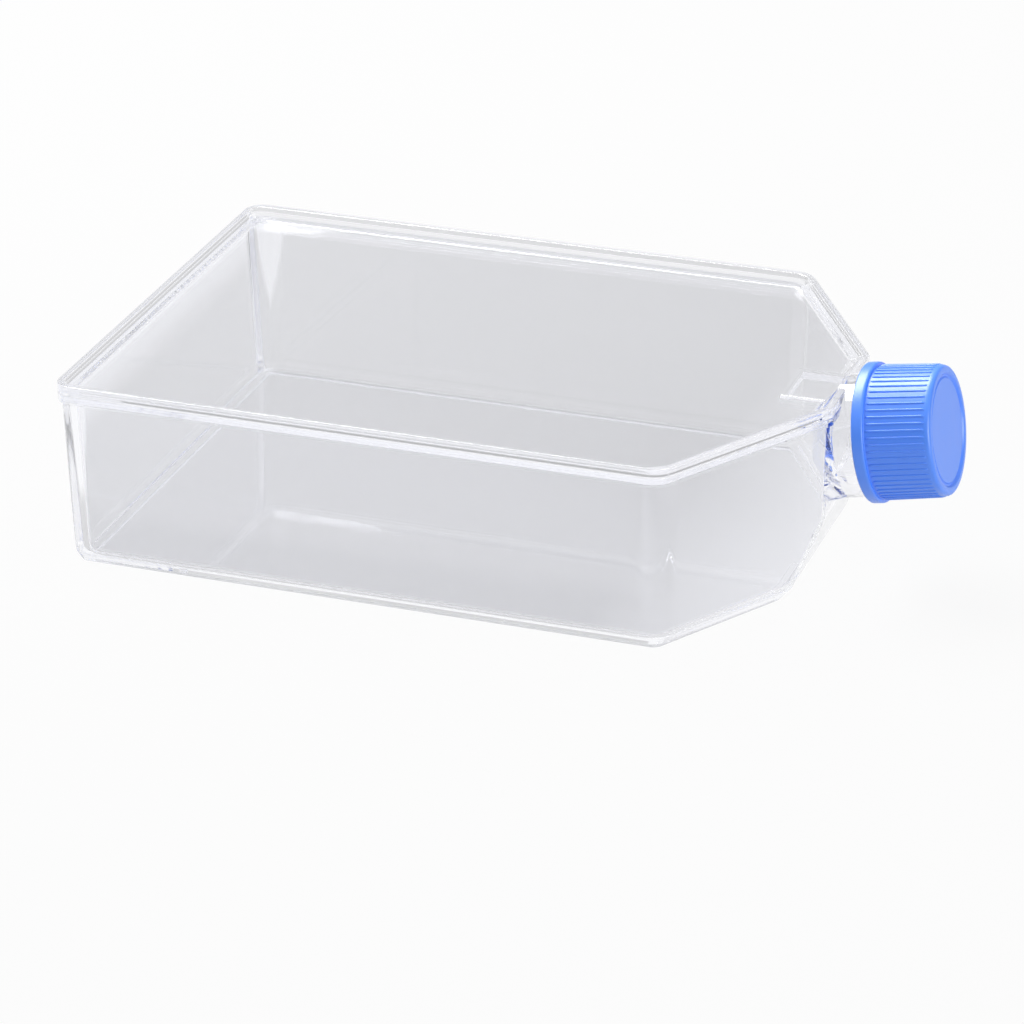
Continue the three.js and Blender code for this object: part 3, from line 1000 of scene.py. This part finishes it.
def make_floor_paint():
    material = bpy.data.materials.new("floor_paint")
    material.use_nodes = True
    tree = material.node_tree
    nodes, links = tree.nodes, tree.links
    paint = nodes["Principled BSDF"]
    paint.inputs["Base Color"].default_value = FLOOR_GREY
    paint.inputs["Roughness"].default_value = 0.9
    paint.inputs["Specular IOR Level"].default_value = 0.1
    glow = nodes.new("ShaderNodeEmission")
    glow.inputs["Strength"].default_value = 1
    path = nodes.new("ShaderNodeLightPath")
    place = nodes.new("ShaderNodeTexCoord")
    parts = nodes.new("ShaderNodeSeparateXYZ")
    links.new(place.outputs["Object"], parts.inputs["Vector"])
    past = []
    for i in range(2):
        away = maths(tree, "ABSOLUTE", maths(tree, "SUBTRACT", parts.outputs[i], CARD_MIDDLE[i]), 0)
        past.append(maths(tree, "SUBTRACT", away, CARD_HALF[i]))
    beyond = rising(tree, maths(tree, "MAXIMUM", *past), 0, CARD_EDGE, soft=True)
    faded = rising(tree, parts.outputs["X"], *CARD_FADE)
    direct = maths(tree, "MULTIPLY", path.outputs["Is Camera Ray"], FLOOR_GLOW)
    straight = maths(tree, "LESS_THAN", path.outputs["Diffuse Depth"], 0.5)
    edge = maths(tree, "GREATER_THAN", path.outputs["Glossy Depth"], EDGE_MIRRORINGS)
    white = maths(tree, "MAXIMUM", beyond, maths(tree, "MAXIMUM", faded, edge))
    seen = maths(tree, "MULTIPLY", mirrored_or_through(tree, path), straight)
    through = maths(tree, "MULTIPLY", seen, white)
    blend = nodes.new("ShaderNodeMixShader")
    links.new(maths(tree, "MAXIMUM", direct, through), blend.inputs["Fac"])
    links.new(paint.outputs["BSDF"], blend.inputs[1])
    links.new(glow.outputs["Emission"], blend.inputs[2])
    links.new(blend.outputs["Shader"], nodes["Material Output"].inputs["Surface"])
    return material


def add_floor():
    data = bpy.data.meshes.new("floor")
    signs = ((-1, -1), (1, -1), (1, 1), (-1, 1))
    corners = [(x * FLOOR_SIZE, y * FLOOR_SIZE, -FLOOR_DROP) for x, y in signs]
    data.from_pydata(corners, [], [(0, 1, 2, 3)])
    floor = bpy.data.objects.new("floor", data)
    bpy.context.scene.collection.objects.link(floor)
    data.materials.append(make_floor_paint())


add_floor()
print("card from x", CARD_MIDDLE[0] - CARD_HALF[0], "to", CARD_MIDDLE[0] + CARD_HALF[0], "m")

# %% [markdown]
# The sky is white to the eye, and a little darker towards the horizon in what the flask mirrors, as
# the walls of a studio are, so that the plastic's faces don't all look alike. Light that reaches
# the object from it has its own, lower level, because the lamps give the rest.

# %% The sky
SKY_LEVEL = 0.5
HORIZON = 0.45
HORIZON_HEIGHT = (0.1, 0.8)


def make_sky():
    world = bpy.data.worlds.new("sky")
    bpy.context.scene.world = world
    world.use_nodes = True
    tree = world.node_tree
    nodes, links = tree.nodes, tree.links
    direction = nodes.new("ShaderNodeTexCoord")
    parts = nodes.new("ShaderNodeSeparateXYZ")
    links.new(direction.outputs["Generated"], parts.inputs["Vector"])
    shade = rising(tree, parts.outputs["Z"], *HORIZON_HEIGHT, low=HORIZON)
    path = nodes.new("ShaderNodeLightPath")
    straight = maths(tree, "LESS_THAN", path.outputs["Diffuse Depth"], 0.5)
    seen = maths(tree, "MULTIPLY", mirrored_or_through(tree, path), straight)
    level = rising(tree, seen, 0, 1, low=SKY_LEVEL)
    edge = maths(tree, "GREATER_THAN", path.outputs["Glossy Depth"], EDGE_MIRRORINGS)
    edge = maths(tree, "MULTIPLY", edge, straight)
    open_sky = maths(tree, "MULTIPLY", shade, level)
    strength = nodes.new("ShaderNodeMix")
    strength.data_type = "FLOAT"
    strength.inputs["B"].default_value = 1
    links.new(edge, strength.inputs["Factor"])
    links.new(open_sky, strength.inputs["A"])
    studio = nodes["Background"]
    studio.inputs["Color"].default_value = (1, 1, 1, 1)
    links.new(strength.outputs["Result"], studio.inputs["Strength"])
    white = nodes.new("ShaderNodeBackground")
    white.inputs["Color"].default_value = (1, 1, 1, 1)
    white.inputs["Strength"].default_value = 1
    blend = nodes.new("ShaderNodeMixShader")
    links.new(path.outputs["Is Camera Ray"], blend.inputs["Fac"])
    links.new(studio.outputs["Background"], blend.inputs[1])
    links.new(white.outputs["Background"], blend.inputs[2])
    links.new(blend.outputs["Shader"], nodes["World Output"].inputs["Surface"])


make_sky()
print("sky level on the object", SKY_LEVEL)

# %% [markdown]
# Two soft boxes light the flask: a long one overhead, which lays the pale sheen along the top of
# the cap, and a weaker one at the right, which fills the cap's face and lower ribs. Light that
# enters a clear plate can run a long way inside it before it leaves by an edge, so the render is
# allowed long paths.

# %% The lamps
def add_soft_box(name, place, aim, size, power):
    data = bpy.data.lights.new(name, "AREA")
    data.shape = "RECTANGLE"
    data.size, data.size_y = size
    data.energy = power
    lamp = bpy.data.objects.new(name, data)
    lamp.location = place
    lamp.visible_transmission = False
    lamp.rotation_euler = (Vector(aim) - Vector(place)).to_track_quat("-Z", "Y").to_euler()
    bpy.context.scene.collection.objects.link(lamp)


add_soft_box("overhead", (-0.56, 0.40, 1.03), (0.1, 0, 0.04), (1.0, 0.6), 20)
add_soft_box("front", (1.3, -0.7, 0.5), (0.1, 0, 0.03), (0.9, 0.9), 12)

LONGEST_PATH = 128
paths = bpy.context.scene.cycles
paths.max_bounces = LONGEST_PATH
paths.glossy_bounces = LONGEST_PATH
paths.transmission_bounces = LONGEST_PATH
print("lamps and paths of up to", LONGEST_PATH, "bounces are set")

# %% Finish
bpy.context.scene.view_settings.view_transform = "Standard"
